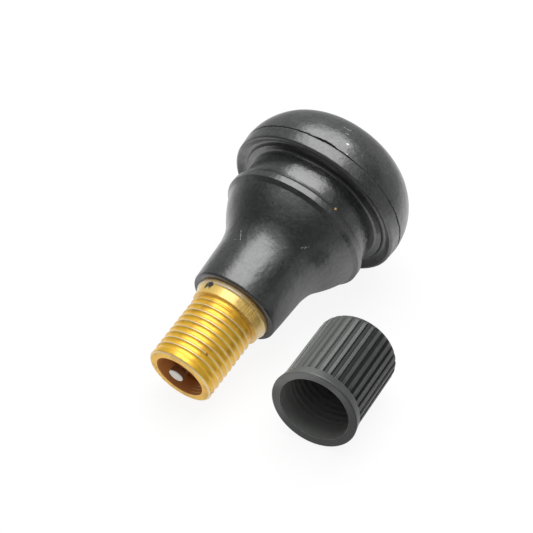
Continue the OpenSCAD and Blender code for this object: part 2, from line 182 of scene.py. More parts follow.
class StemSizes(bpy.types.PropertyGroup):
    pitch: length("Cap thread pitch", "Pitch of the cap thread, 32 turns to the inch", 0.794)
    thread_depth: length("Cap thread depth", "Depth of the cap thread", 0.13)
    thread_turn: turn("Cap thread turn", "Angle that the cap thread is turned by", 0)
    thread_h: length("Cap thread length", "Length of the thread with the tip's rounding", 8)
    lead_h: length("Lead", "Plain stretch at the tip", 0.5)
    tip_round: length("Tip rounding", "Rounding of the tip's outer edge", 0.3)
    relief_w: length("Relief width", "Width of the relief groove behind the thread", 0.4)
    relief_depth: length("Relief depth", "Depth of the relief groove", 0.2)
    shoulder_h: length("Shoulder", "Length of the smooth shoulder behind the thread", 1.2)
    shoulder_d: length("Shoulder end", "Diameter of the shoulder at its thread end", 8.1)
    shoulder_root_d: length("Shoulder root", "Diameter of the shoulder next to the flange", 8.42)
    flange_slope_h: length("Flange slope", "Length of the slope from the shoulder up to the flange", 0.15)
    flange_d: length("Flange", "Diameter of the flange", 8.74)
    flange_seat: length("Flange inside", "Depth of the flange inside the rubber", 0.6)
    root_d: length("Root", "Diameter of the stem inside the rubber", 7.2)
    bond_depth: length("Bonding grooves", "Depth of the bonding grooves", 0.4)
    bond_w: length("Bonding groove width", "Width of each bonding groove", 0.9)
    bond_count: count("Bonding grooves", "Number of bonding grooves", 4)
    foot_d: length("Foot", "Diameter of the foot that anchors the stem", 9.2)
    foot_h: length("Foot height", "Thickness of the foot", 1.6)
    mouth_d: length("Mouth", "Diameter of the mouth", 5.7)
    mouth_h: length("Mouth depth", "Depth of the mouth's taper", 1.6)
    core_bore_d: length("Core bore", "Diameter of the bore that takes the core", 5)
    core_bore_h: length("Core bore depth", "Depth of that bore", 9.5)
    core_pitch: length("Core thread pitch", "Pitch of the core thread, 36 turns to the inch", 0.706)
    core_thread_depth: length("Core thread depth", "Depth of the core thread", 0.2)
    core_thread_h: length("Core thread length", "Length of the core thread", 5.4)
    cone_h: length("Cone", "Height of the cone that the core's gasket closes", 1.4)
    air_bore_d: length("Air bore", "Diameter of the air bore", 3.7)
    columns: count("Columns", "Faces round the stem", 256)


class CoreSizes(bpy.types.PropertyGroup):
    pin_d: length("Pin", "Diameter of the pin", 0.9)
    pin_head_d: length("Pin head", "Diameter of the pin's head", 1.7)
    pin_head_h: length("Pin head height", "Height of the pin's head", 0.8)
    head_offset: length("Head offset", "How far the pressed head sits off the pin's axis", 0.42)
    head_offset_at: turn("Head offset angle", "Angle at which it sits off", 183)
    stop_d: length("Stop", "Diameter of the stop that the spring bears on", 1.6)
    stop_h: length("Stop height", "Height of that stop", 0.4)
    stop_play: length("Stop play", "Play between the spring and that stop", 0.02)
    rivet_h: length("Rivet", "Height of the rivet on the pin's lower end", 0.4)
    spring_d: length("Spring", "Outer diameter of the spring", 1.7)
    wire_d: length("Wire", "Diameter of the spring's wire", 0.26)
    spring_turns: count("Spring turns", "Number of turns in the spring", 7)
    columns: count("Columns", "Faces round the pin", 64)


class CapSizes(bpy.types.PropertyGroup):
    collar_d: length("Collar", "Diameter of the plain collar at the mouth", 9.68)
    collar_top_d: length("Collar top", "Diameter of the collar next to the ribs", 9.32)
    collar_round: length("Collar edges", "Rounding of the collar's edges", 0.12)
    collar_h: length("Collar height", "Height of the collar", 1.2)
    rib_d: length("Ribs", "Diameter over the ribs, next to the collar", 9.14)
    rib_end_d: length("Ribs at the end", "Diameter over the ribs, at the closed end", 9.08)
    rib_depth: length("Rib depth", "Depth of the grooves between the ribs", 0.28)
    rib_count: count("Rib count", "Number of ribs", 32)
    rib_share: share("Rib share", "Share of the pitch that a rib's flat top takes", 0.44)
    flank_share: share("Flank share", "Share of the pitch that a rib's two flanks take", 0.16)
    end_round: length("End rounding", "Rounding of the closed end", 1)
    mouth_round: length("Mouth rounding", "Rounding of the mouth's inner edge", 0.07)
    pitch: length("Thread pitch", "Pitch of the thread inside, 32 turns to the inch", 0.794)
    thread_depth: length("Thread depth", "Depth of the thread inside", 0.035)
    thread_start: length("Thread start", "Depth at which the thread inside starts", 2)
    columns_per_rib: count("Columns per rib", "Faces across a rib and its groove", 16)


class Finishes(bpy.types.PropertyGroup):
    rubber: colour("Rubber", "Black rubber of the body", 0.014, 0.015, 0.0152)
    rubber_bloom: colour("Rubber bloom", "Greyer rubber where it has dried", 0.03, 0.032, 0.032)
    speck: colour("Specks", "Dust specks on the rubber", 0.3, 0.3, 0.29)
    # The line on the flange that this colour paints is partly a painted highlight
    chip: colour("Chips", "Pale chips and scratches, and the line on the flange", 0.75, 0.73, 0.68)
    crumb: colour("Crumb", "Brass crumb on the neck", 0.75, 0.5, 0.14)
    brass: colour("Brass", "Turned brass of the stem", 0.98, 0.57, 0.045)
    brass_worn: colour("Worn brass", "Pale brass on the crests of the thread", 0.95, 0.82, 0.52)
    brass_pale: colour("Pale brass", "Pale smooth brass of the shoulder", 0.93, 0.64, 0.16)
    brass_dark: colour("Brown brass", "Brass where it has browned", 0.46, 0.2, 0.02)
    # Painted shade: brown that stands in for the brass of the mouth and the bore lying in shade
    bore: colour("Bore", "Brown coat in the mouth and the bore", 0.6, 0.235, 0.06)
    bond: colour("Bond", "Grey-brown bonding coat round the flange", 0.55, 0.43, 0.29)
    core_brass: colour("Core brass", "Pressed brass of the core", 0.62, 0.42, 0.14)
    steel: colour("Steel", "Plated steel of the pin and the spring", 0.72, 0.69, 0.63)
    steel_dull: colour("Dull steel", "Steel where its plating has dulled", 0.35, 0.33, 0.29)
    # Painted shade: brown for the pin head's side, which lies in shade in the bore
    brown: colour("Brown steel", "Steel that has browned", 0.2, 0.095, 0.035)
    seal: colour("Seal", "Red-brown rubber of the core's seals", 0.12, 0.03, 0.02)
    cap: colour("Cap", "Dark grey plastic of the cap", 0.011, 0.012, 0.0122)
    cap_worn: colour("Worn cap", "Paler plastic on the tops of the ribs", 0.055, 0.058, 0.056)
    # Painted light: a paler grey painted inside the cap and on its left side
    cap_painted_light: colour("Cap dust", "Dusty plastic inside the cap and on its left side", 0.16, 0.167, 0.16)
    cap_speck: colour("Cap specks", "Dust specks on the cap", 0.3, 0.3, 0.3)
    floor: colour("Floor", "White studio floor", 1, 1, 1)
    paper_end: colour("Paper's end", "Grey that reflections show where the paper ends", 0.3, 0.3, 0.3)


class StageSettings(bpy.types.PropertyGroup):
    azimuth: turn("Camera azimuth", "Angle of the camera round the valve", 34.365)
    elevation: turn("Camera elevation", "Angle of the camera above the floor", 42.125)
    distance: length("Camera distance", "Distance from the camera to the point it looks at", 205)
    aim: FloatVectorProperty(
        name="Aim", description="Point that the camera looks at", subtype="TRANSLATION", unit="LENGTH",
        default=(-2.097 * MM, -5.873 * MM, -5.857 * MM),
    )
    lens: amount("Lens", "Focal length on a 36 mm sensor", 125, "CAMERA")
    softbox_w: length("Softbox width", "Side of the softbox across the valve", 500)
    softbox_l: length("Softbox length", "Side of the softbox along the valve", 580)
    softbox_height: length("Softbox height", "Distance from the valve to the softbox overhead", 520)
    softbox_power: amount("Softbox power", "Power of the softbox", 2.8, "POWER")
    back: amount("Back of the room", "Light from behind and from the left", 0.4)
    front: amount("Front of the room", "Light from the camera's side", 0.12)
    front_top: amount("Front top", "Light from high on the camera's side", 0.7)
    side: amount("Side of the room", "Light added low on the right", 0.3)
    shadow: share("Shadow", "How much of the object's shadow the floor keeps", 0.1)
    floor_size: length("Floor", "Side of the square floor", 4000)
    paper_near: length("Paper near", "Distance at which the floor's reflection starts to fade", 5)
    paper_far: length("Paper far", "Distance at which it has faded", 80)


# Nodes, written as sums

def sum_method(operation, swapped=False):
    """A method of Value that adds one Math node, with the other term first where swapped."""
    def method(self, other):
        terms = (other, self) if swapped else (self, other)
        return self.nodes.math(operation, *terms)
    return method


class Value:
    """A node's output that takes part in Python sums: each sum adds one Math node to its tree."""

    def __init__(self, nodes, socket):
        self.nodes = nodes
        self.socket = socket

    __add__, __radd__ = sum_method("ADD"), sum_method("ADD", swapped=True)
    __sub__, __rsub__ = sum_method("SUBTRACT"), sum_method("SUBTRACT", swapped=True)
    __mul__, __rmul__ = sum_method("MULTIPLY"), sum_method("MULTIPLY", swapped=True)
    __truediv__, __rtruediv__ = sum_method("DIVIDE"), sum_method("DIVIDE", swapped=True)
    __pow__ = sum_method("POWER")
    at_least, at_most = sum_method("MAXIMUM"), sum_method("MINIMUM")

    def math(self, operation):
        """A Math node with this one term."""
        return self.nodes.math(operation, self)

    def __abs__(self):
        return self.math("ABSOLUTE")

    def other(self, name):
        """Another output of the same node."""
        return Value(self.nodes, self.socket.node.outputs[name])

    def ramp(self, start, end):
        """Rises smoothly from 0 at start to 1 at end; start may be the larger."""
        sockets = {"Value": self, "From Min": start, "From Max": end}
        return self.nodes.add("ShaderNodeMapRange", {"interpolation_type": "SMOOTHSTEP"}, sockets)

    def band(self, middle, half, soft):
        """1 within half of middle, falling to 0 over soft."""
        return abs(self - middle).ramp(half + soft, half)


# Sockets of the Mix node for its factor, its two colours and the mixed colour
MIX_FACTOR, MIX_FIRST, MIX_SECOND, MIXED = 0, 6, 7, 2


class Nodes:
    """Adds nodes to one tree."""

    def __init__(self, tree):
        self.tree = tree

    def add(self, kind, settings=None, sockets=None, out=0):
        """Adds a node, sets it up, then fills or links its sockets, and gives one of its outputs."""
        node = self.tree.nodes.new(kind)
        for name, value in (settings or {}).items():
            setattr(node, name, value)
        for name, value in (sockets or {}).items():
            if isinstance(value, Value):
                self.tree.links.new(value.socket, node.inputs[name])
            else:
                node.inputs[name].default_value = value
        return Value(self, node.outputs[out]) if node.outputs else None

    def math(self, operation, *terms):
        return self.add("ShaderNodeMath", {"operation": operation}, dict(enumerate(terms)))

    def vector_math(self, operation, *terms, out="Vector"):
        """Vector Math on values and on plain vectors."""
        sockets = {i: term if isinstance(term, Value) else tuple(term) for i, term in enumerate(terms)}
        return self.add("ShaderNodeVectorMath", {"operation": operation}, sockets, out)

    def mix(self, mask, first, second):
        """Colour that goes from first to second as mask goes from 0 to 1."""
        sockets = {MIX_FACTOR: mask, MIX_FIRST: first, MIX_SECOND: second}
        return self.add("ShaderNodeMix", {"data_type": "RGBA"}, sockets, MIXED)

    def object_place(self):
        return self.add("ShaderNodeTexCoord", out="Object")

    def dot(self, place, direction):
        return self.vector_math("DOT_PRODUCT", place, direction, out="Value")

    def distance(self, place, point):
        return self.vector_math("DISTANCE", place, point, out="Value")

    def off_axis(self, place, axis, through=(0, 0, 0)):
        """Distance from an axis through a point."""
        across = self.vector_math("CROSS_PRODUCT", self.vector_math("SUBTRACT", place, through), axis)
        return self.vector_math("LENGTH", across, out="Value")

    def streak(self, place, start, end, half):
        """1 along a thin straight mark from start to end."""
        along = end - start
        part = ((self.dot(place, along) - start.dot(along)) / along.length_squared).at_least(0).at_most(1)
        nearest = self.vector_math("MULTIPLY_ADD", along, part, start)
        return self.distance(place, nearest).ramp(half, half * 0.4)

    def attribute(self, name):
        return self.add("ShaderNodeAttribute", {"attribute_name": name}, out="Fac")

    def noise(self, place, size, detail=2.0, roughness=0.5):
        """Noise whose features are about size across."""
        sockets = {"Vector": place, "Scale": 1 / size, "Detail": detail, "Roughness": roughness}
        return self.add("ShaderNodeTexNoise", {}, sockets)

    def ripple(self, along, size, detail):
        """Noise along one direction only, whose features are about size across."""
        sockets = {"W": along / size, "Detail": detail}
        return self.add("ShaderNodeTexNoise", {"noise_dimensions": "1D"}, sockets)

    def specks(self, place, spacing, radius):
        """1 in small spots, spaced about spacing apart."""
        sockets = {"Vector": place, "Scale": 1 / spacing}
        return self.add("ShaderNodeTexVoronoi", {}, sockets).ramp(radius / spacing, 0.6 * radius / spacing)

    def bump(self, height, depth, normal=None):
        sockets = {"Height": height, "Distance": depth, "Strength": 1.0}
        if normal:
            sockets["Normal"] = normal
        return self.add("ShaderNodeBump", {}, sockets)

    def surface(self, **sockets):
        """Principled surface; an underscore in a name stands for a space."""
        named = {name.replace("_", " "): value for name, value in sockets.items()}
        return self.add("ShaderNodeBsdfPrincipled", {}, named)


# Finishes

# Marks on the valve, each at a radius and a height in millimetres and an angle in degrees.
# A chip or a smear has its own radius first, and a scratch has two ends.
CHIPS = ((0.19, (10.17, -2.84, 67.6)), (0.13, (10.24, -1.75, 64.5)))
CRUMB = (7.93, 2.8, 46)
SCRATCHES = (
    ((5.53, 9.54, 114), (5.37, 10.67, 106.8)), ((5.36, 10.76, 116.2), (5.36, 10.76, 112.2)),
    ((6.09, 8.02, 44.2), (6.42, 7.5, 40.2)), ((6.17, 7.88, 41), (6.3, 7.7, 42)),
    ((7.05, 6.7, 3), (7.1, 6.55, 5.5)), ((10.2, -1.4, 7), (10.22, -1.2, 10)),
    ((9.48, -4.81, 76.8), (9.47, -4.85, 74.5)), ((9.48, -4.81, 73.8), (9.41, -4.94, 71.8)),
    ((9.84, -4.03, 73), (9.78, -4.18, 70.8)),
)
NICKS = (3.1, 25.7, 215)
SMEARS = ((0.48, (4.22, 16.38, 115)), (0.36, (4.24, 16.5, 121.5)))
PIT = (3.76, 23.35, 49.6)
# Where painted reflections of the bore's turned lines lie
BORE_GLINTS = (2.75, 25.1, 303)
HATCHING = (4.1, 16.7, 38)


def on_valve(r, z, angle):
    """Point at a radius, a height along the valve's axis in millimetres, and an angle in degrees."""
    turned = radians(angle)
    return VALVE @ Vector((r * cos(turned), r * sin(turned), z)) * MM


def rubber_finish(nodes, finishes):
    sizes = bpy.context.scene.tyre_valve_rubber
    place = nodes.object_place()
    cloud = nodes.noise(place, 3.5 * MM, 4)
    patch = nodes.noise(place, 1.1 * MM, 3)
    grain = nodes.noise(place, 0.28 * MM, 3, 0.65)
    bloom = (cloud * 0.4 + grain * 0.6).ramp(0.4, 0.64)
    rubber = nodes.mix(bloom, finishes.rubber, finishes.rubber_bloom)
    dust = nodes.specks(place, 1.2 * MM, 0.055 * MM) * nodes.noise(place, 4 * MM).ramp(0.48, 0.6)
    rubber = nodes.mix(dust * 0.5, rubber, finishes.speck)
    # Chips by the tear, and a brass crumb on the neck
    for radius, spot in CHIPS:
        away = nodes.distance(place, on_valve(*spot)) + (grain - 0.5) * (0.6 * MM)
        rubber = nodes.mix(away.ramp(radius * MM, radius * 0.5 * MM), rubber, finishes.chip)
    crumb = nodes.distance(place, on_valve(*CRUMB)).ramp(0.17 * MM, 0.1 * MM)
    rubber = nodes.mix(crumb, rubber, finishes.crumb)
    # Scratches and scuffs on the bell and the head
    for start, end in SCRATCHES:
        scratch = nodes.streak(place, on_valve(*start), on_valve(*end), 0.055 * MM)
        rubber = nodes.mix(scratch * grain.ramp(0.3, 0.6) * 0.6, rubber, finishes.chip)
    # The neck shines, and the notch beside the ridge, the crack's walls and the underside are dull
    height = nodes.dot(place, TO_TIP)
    out = nodes.off_axis(place, TO_TIP)
    neck_r, head_r = sizes.neck_d / 2, sizes.head_d / 2
    inward = out.ramp(neck_r + 0.4 * MM, neck_r + 0.25 * MM)
    neck = height.band(sizes.groove_w / 2 - 0.05 * MM, 1 * MM, 0.5 * MM) * inward
    notch = height.band(sizes.groove_w - 0.25 * MM, 0.13 * MM, 0.12 * MM) * inward
    crack = height.band(-sizes.parting_h, 0.14 * MM, 0.08 * MM)
    crack = crack * out.ramp(head_r - 0.02 * MM, head_r - 0.08 * MM)
    dull = notch.at_least(crack)
    under = nodes.dot(place, UP).ramp(1 * MM, -6 * MM)
    # A thin waxy film makes the gloss uneven
    film = ((patch * 0.4 + grain * 0.6).ramp(0.38, 0.62) * 0.5 + 0.5).at_least(neck * 0.9)
    film = film * (1 - dull) * (1 - under * 0.8)
    rough = patch * 0.14 + grain * 0.16 + 0.17 - neck * 0.08 + dull * 0.6 + under * 0.4
    peel = nodes.bump(nodes.noise(place, 0.5 * MM, 2), 0.042 * MM)
    dents = nodes.bump(nodes.noise(place, 2 * MM, 1), 0.1 * MM, peel)
    return nodes.surface(
        Base_Color=rubber, Roughness=rough, Specular_IOR_Level=1.0, Coat_Weight=film, Coat_Roughness=0.26,
        Normal=dents,
    )


def brass_finish(nodes, finishes):
    sizes = bpy.context.scene.tyre_valve_stem
    place = nodes.object_place()
    height = nodes.dot(place, TO_TIP)
    out = nodes.off_axis(place, TO_TIP)
    cloud = nodes.noise(place, 1.6 * MM, 4)
    fine = nodes.noise(place, 0.12 * MM, 2)
    speckle = nodes.noise(place, 0.3 * MM, 2)
    brass = nodes.mix(cloud.ramp(0.48, 0.66) * 0.45, finishes.brass, finishes.brass_dark)
    # The shoulder is pale and smooth, and the thread's crests and the tip's edge are worn pale
    smooth_end = FACE_Z + 1.7 * MM
    smooth = height.ramp(smooth_end + 0.05 * MM, smooth_end - 0.05 * MM)
    brass = nodes.mix(smooth, brass, finishes.brass_pale)
    edge = out.band(THREAD_R - 0.13 * MM, 0.05 * MM, 0.06 * MM)
    edge = edge * height.ramp(TIP_Z - 0.3 * MM, TIP_Z - 0.2 * MM)
    worn = nodes.attribute("crest").ramp(0.55, 0.95).at_least(edge)
    brass = nodes.mix(worn * 0.85, brass, finishes.brass_worn)
    nicks = nodes.distance(place, on_valve(*NICKS)).ramp(2.6 * MM, 1.4 * MM) * speckle.ramp(0.52, 0.6)
    brass = nodes.mix(nicks * 0.7, brass, finishes.brass_dark)
    # The coat that bonds the rubber shows round the flange up to a pale line
    coat_end = FACE_Z + 0.44 * MM
    uneven = height + nodes.noise(place, 0.6 * MM, 3) * (0.1 * MM)
    coat = uneven.ramp(coat_end, coat_end - 0.06 * MM)
    # Painted light: towards the valve's right side the coat is painted nearer brass colour, lighter than its own
    # grey-brown
    lit_right_side = nodes.dot(place, VALVE.col[0].xyz).ramp(1 * MM, 3.2 * MM) * 0.6
    bond = nodes.mix(lit_right_side.at_least(cloud.ramp(0.45, 0.7) * 0.6), finishes.bond, finishes.brass)
    brass = nodes.mix(coat, brass, bond)
    # The pale line is partly a worn edge and partly a painted highlight, fading towards the right side
    edge_highlight = uneven.band(coat_end + 0.02 * MM, 0.03 * MM, 0.05 * MM) * (0.9 - lit_right_side)
    brass = nodes.mix(edge_highlight, brass, finishes.chip)
    # Rubber is smeared next to that line, and the thread has a brown pit
    blotch = nodes.noise(place, 0.4 * MM, 3)
    smear = 0.0
    for radius, spot in SMEARS:
        away = nodes.distance(place, on_valve(*spot)) + (blotch - 0.5) * (0.8 * MM)
        smear = away.ramp(radius * MM, radius * 0.5 * MM).at_least(smear)
    brass = nodes.mix(smear, brass, finishes.rubber_bloom)
    pit = nodes.distance(place, on_valve(*PIT)).ramp(0.26 * MM, 0.12 * MM)
    brass = nodes.mix(pit * 0.85, brass, finishes.brass_dark)
    # Painted shade: inside, the stem is painted brown where its brass lies in shade, with painted reflections of
    # turned lines at one place
    mouth_r = sizes.mouth_d / 2
    bore = out.ramp(mouth_r + 0.05 * MM, mouth_r - 0.02 * MM)
    # Painted reflection: pale rings standing in for light caught by the bore's turned lines
    bore_glints = (height / (0.36 * MM)).math("FRACT").band(0.5, 0.08, 0.1)
    bore_glints = bore_glints * nodes.distance(place, on_valve(*BORE_GLINTS)).ramp(1.1 * MM, 0.5 * MM)
    bore_shade_colour = nodes.mix(bore_glints * 0.5, finishes.bore, finishes.brass_worn)
    brass = nodes.mix(bore, brass, bore_shade_colour)
    metal = (0.52 - smooth * 0.2) * (1 - coat.at_least(smear).at_least(bore * 0.8))
    rough = cloud * 0.1 + fine * 0.06 + 0.26 + coat * 0.25 + bore * 0.2
    # Turning marks run round the stem, and the shoulder has a patch of scraped hatching
    turning = nodes.ripple(height, 0.06 * MM, 2.0)
    strokes = nodes.ripple(nodes.dot(place, VALVE.col[1].xyz - VALVE.col[0].xyz), 0.42 * MM, 1.0)
    patch = nodes.distance(place, on_valve(*HATCHING)).ramp(2.1 * MM, 1.2 * MM) * smooth
    scrape = (strokes * 0.7 + blotch * 0.3).ramp(0.5, 0.56) * patch
    brass = nodes.mix(scrape * 0.8, brass, finishes.brass_dark)
    marks = nodes.bump(turning, 0.002 * MM)
    scraped = nodes.bump(scrape, 0.03 * MM, marks)
    return nodes.surface(
        Base_Color=brass, Metallic=metal, Roughness=rough, Coat_Weight=0.15 + smooth * 0.6, Normal=scraped,
    )


def core_brass_finish(nodes, finishes):
    cloud = nodes.noise(nodes.object_place(), 0.8 * MM, 4)
    brass = nodes.mix(cloud.ramp(0.45, 0.75), finishes.core_brass, finishes.brass_dark)
    return nodes.surface(Base_Color=brass, Metallic=1.0, Roughness=cloud * 0.2 + 0.22)


def steel_finish(nodes, finishes):
    place = nodes.object_place()
    height = nodes.dot(place, TO_TIP)
    fine = nodes.noise(place, 0.14 * MM, 3, 0.65)
    cloud = nodes.noise(place, 0.5 * MM, 3)
    steel = nodes.mix(fine.ramp(0.5, 0.75) * 0.4, finishes.steel, finishes.steel_dull)
    # Painted shade: the head's side is painted brown and less metallic, so only its face stays light
    side = height.band(PIN_TOP_Z - 0.55 * MM, 0.42 * MM, 0.05 * MM)
    steel = nodes.mix(side, steel, finishes.brown)
    dents = nodes.bump(fine, 0.015 * MM)
    return nodes.surface(
        Base_Color=steel, Metallic=0.75 - side * 0.6, Roughness=cloud * 0.2 + 0.35, Normal=dents,
    )


def seal_finish(nodes, finishes):
    cloud = nodes.noise(nodes.object_place(), 0.5 * MM, 3)
    seal = nodes.mix(cloud, finishes.seal, finishes.rubber_bloom)
    return nodes.surface(Base_Color=seal, Roughness=cloud * 0.2 + 0.55)


LEFT_OF_CAP = radians(235)


def cap_finish(nodes, finishes):
    sizes = bpy.context.scene.tyre_valve_cap
    place = nodes.object_place()
    cloud = nodes.noise(place, 2.2 * MM, 4)
    grain = nodes.noise(place, 0.12 * MM, 3, 0.6)
    depth = CAP_MOUTH.dot(OUT_OF_CAP) - nodes.dot(place, OUT_OF_CAP)
    collar = depth.ramp(sizes.collar_h + 0.1 * MM, sizes.collar_h + 0.02 * MM)
    outer = nodes.attribute("crest").at_least(collar)
    to_left = CAP.col[0].xyz * cos(LEFT_OF_CAP) + CAP.col[1].xyz * sin(LEFT_OF_CAP)
    sideways = nodes.dot(place, to_left) - CAP_MOUTH.dot(to_left)
    # Handling has worn the rib tops and the collar paler, and a painted highlight makes them paler still on the
    # left
    lit_left = sideways.ramp(-2 * MM, 2 * MM) * 0.6 + 0.4
    worn = outer * lit_left * ((grain * 0.5 + cloud * 0.5).ramp(0.35, 0.65) * 0.35 + 0.65)
    plastic = nodes.mix(worn, finishes.cap, finishes.cap_worn)
    # Painted light: the inside of the cap and its far left side are painted a paler grey
    from_axis = nodes.off_axis(place, OUT_OF_CAP, CAP_MOUTH)
    inside = from_axis.ramp(CAP_BORE_R + 0.06 * MM, CAP_BORE_R + 0.02 * MM)
    painted_pale = inside.at_least(sideways.ramp(2.9 * MM, 4.3 * MM) * (grain * 0.5 + 0.5))
    plastic = nodes.mix(painted_pale, plastic, finishes.cap_painted_light)
    dust = nodes.specks(place, 1.1 * MM, 0.04 * MM) * nodes.noise(place, 3 * MM).ramp(0.5, 0.65)
    plastic = nodes.mix(dust * 0.5, plastic, finishes.cap_speck)
    rough = cloud * 0.1 + grain * 0.1 + 0.38
    fine = nodes.bump(grain, 0.012 * MM)
    return nodes.surface(
        Base_Color=plastic, Roughness=rough, Specular_IOR_Level=0.4, Coat_Weight=worn, Coat_Roughness=0.35,
        Normal=fine,
    )


def floor_finish(nodes, finishes):
    stage = bpy.context.scene.tyre_valve_stage
    seen = nodes.add("ShaderNodeLightPath", out="Is Camera Ray")
    glossy = seen.other("Is Glossy Ray")
    clean = seen.at_least(glossy).at_least(seen.other("Is Transmission Ray"))
    paper = nodes.add("ShaderNodeBsdfDiffuse", {}, {"Color": finishes.floor})
    white = nodes.add("ShaderNodeEmission", {}, {"Color": (1, 1, 1, 1), "Strength": 1.0})
    grey = nodes.add("ShaderNodeEmission", {}, {"Color": finishes.paper_end, "Strength": 1.0})
    # Reflections show the paper end softly, some way from the valve
    far = nodes.distance(nodes.object_place(), (0, 0, CAD_BOX[0].z)).ramp(stage.paper_near, stage.paper_far)
    shown = nodes.add("ShaderNodeMixShader", {}, {0: far * glossy, 1: white, 2: grey})
    return nodes.add("ShaderNodeMixShader", {}, {0: clean * (1 - stage.shadow), 1: paper, 2: shown})


PAINTS = {
    "rubber": rubber_finish, "brass": brass_finish, "core_brass": core_brass_finish, "steel": steel_finish,
    "seal": seal_finish, "cap": cap_finish, "floor": floor_finish,
}


def finish(name):
    """The named material, made when it is first asked for."""
    made = bpy.data.materials.get(f"valve_{name}")
    if made:
        return made
    made = bpy.data.materials.new(f"valve_{name}")
    made.use_nodes = True
    made.node_tree.nodes.clear()
    nodes = Nodes(made.node_tree)
    surface = PAINTS[name](nodes, bpy.context.scene.tyre_valve_finishes)
    nodes.add("ShaderNodeOutputMaterial", {}, {"Surface": surface})
    return made


# Meshes

def arc(centre, radius, start, end, steps=6):
    """Points of an outline along a round stretch, as radius and height."""
    angles = np.radians(np.linspace(start, end, steps + 1))
    return [(centre[0] + radius * cos(a), centre[1] + radius * sin(a)) for a in angles]


def bend(a, b, c, d, steps):
    """Points of an outline along a smooth stretch that leaves a for b and comes into d from c."""
    a, b, c, d = (np.array(point) for point in (a, b, c, d))
    along = np.linspace(0, 1, steps + 1)[:, None]
    back = 1 - along
    points = back**3 * a + 3 * back**2 * along * b + 3 * back * along**2 * c + along**3 * d
    return [tuple(point) for point in points]


def line(a, b, steps):
    """Points of an outline along a straight stretch, without its ends."""
    return [tuple(np.array(a) + (np.array(b) - np.array(a)) * i / steps) for i in range(1, steps)]


def crisp(corners, near):
    """An outline's corners, each cut off narrowly between close rows, to keep shading flat up to it."""
    points = [Vector(corner) for corner in corners]
    made = [points[0]]
    for before, corner, after in zip(points, points[1:], points[2:]):
        back, on = (before - corner).normalized() * near, (after - corner).normalized() * near
        made += [corner + back * 2, corner + back, corner + on, corner + on * 2]
    return [tuple(point) for point in made + points[-1:]]


def rings(outline, columns):
    """The outline turned round the axis: an array of rows, columns and coordinates."""
    radius, height = np.array(outline).T
    angle = np.arange(columns) * 2 * pi / columns
    made = np.empty((len(radius), columns, 3))
    made[..., 0] = radius[:, None] * np.cos(angle)
    made[..., 1] = radius[:, None] * np.sin(angle)
    made[..., 2] = height[:, None]
    return made


def wall(made):
    """Mesh of the faces between neighbouring rings."""
    rows, columns = made.shape[:2]
    index = np.arange(rows * columns).reshape(rows, columns)
    after = np.roll(index, -1, axis=1)
    faces = np.stack((index[:-1], after[:-1], after[1:], index[1:]), -1).reshape(-1, 4)
    mesh = bpy.data.meshes.new("wall")
    mesh.from_pydata(made.reshape(-1, 3).tolist(), [], faces.tolist())
    return mesh


def weld(name, meshes, place, coat, sharp):
    """One closed piece from several walls, put in its place; edges over sharp degrees stay hard."""
    piece = bpy.data.meshes.new(name)
    made = bmesh.new()
    for mesh in meshes:
        made.from_mesh(mesh)
        bpy.data.meshes.remove(mesh)
    bmesh.ops.remove_doubles(made, verts=made.verts, dist=WELD)
    bmesh.ops.dissolve_degenerate(made, edges=made.edges, dist=WELD / 10)
    bmesh.ops.recalc_face_normals(made, faces=made.faces)
    made.to_mesh(piece)
    made.free()
    piece.transform(place)
    piece.materials.clear()
    piece.materials.append(coat)
    piece.shade_smooth()
    piece.set_sharp_from_angle(angle=radians(sharp))
    thing = bpy.data.objects.new(name, piece)
    bpy.context.scene.collection.objects.link(thing)
    return thing


def fit_out(thing, body, node):
    """Rides a finished piece on its body and the CAD node that it stands for."""
    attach(thing, body)
    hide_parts(node)


# Geometry Nodes

LENGTH, NUMBER, FINISH = "NodeSocketFloat", "NodeSocketInt", "NodeSocketMaterial"


def growth(name, sockets):
    """An empty tree with named inputs, its nodes, and the inputs as values."""
    tree = bpy.data.node_groups.new(name, "GeometryNodeTree")
    tree.interface.new_socket("Geometry", in_out="OUTPUT", socket_type="NodeSocketGeometry")
    for socket, kind in sockets.items():
        tree.interface.new_socket(socket, in_out="INPUT", socket_type=kind)
    nodes = Nodes(tree)
    first = nodes.add("NodeGroupInput")
    return tree, nodes, {socket: first.other(socket) for socket in sockets}


def grown(nodes, geometry, coat):
    """Ends a tree: instances made real, with a material, into the group's output."""
    real = nodes.add("GeometryNodeRealizeInstances", {}, {"Geometry": geometry})
    painted = nodes.add("GeometryNodeSetMaterial", {}, {"Geometry": real, "Material": coat})
    nodes.add("NodeGroupOutput", {}, {"Geometry": painted})


def mesh_from(tree, values):
    """Plain mesh that a tree makes from its named inputs."""
    holder = bpy.data.objects.new(tree.name, bpy.data.meshes.new(tree.name))
    bpy.context.scene.collection.objects.link(holder)
    modifier = holder.modifiers.new(tree.name, "NODES")
    modifier.node_group = tree
    for item in tree.interface.items_tree:
        if item.in_out == "INPUT":
            modifier[item.identifier] = values[item.name]
    holder.update_tag()
    depsgraph = bpy.context.evaluated_depsgraph_get()
    mesh = bpy.data.meshes.new_from_object(holder.evaluated_get(depsgraph))
    bpy.data.objects.remove(holder)
    if not mesh.polygons:
        raise RuntimeError(f"the tree {tree.name} made nothing")
    return mesh


def polar_grid(nodes, columns, rows):
    """A grid with its place round the axis and its place along it, each from 0 to 1."""
    sockets = {"Size X": 1.0, "Size Y": 1.0, "Vertices X": columns + 1, "Vertices Y": rows + 1}
    grid = nodes.add("GeometryNodeMeshGrid", {}, sockets)
    spot = nodes.add("ShaderNodeSeparateXYZ", {}, {0: nodes.add("GeometryNodeInputPosition")})
    return grid, spot + 0.5, spot.other("Y") + 0.5


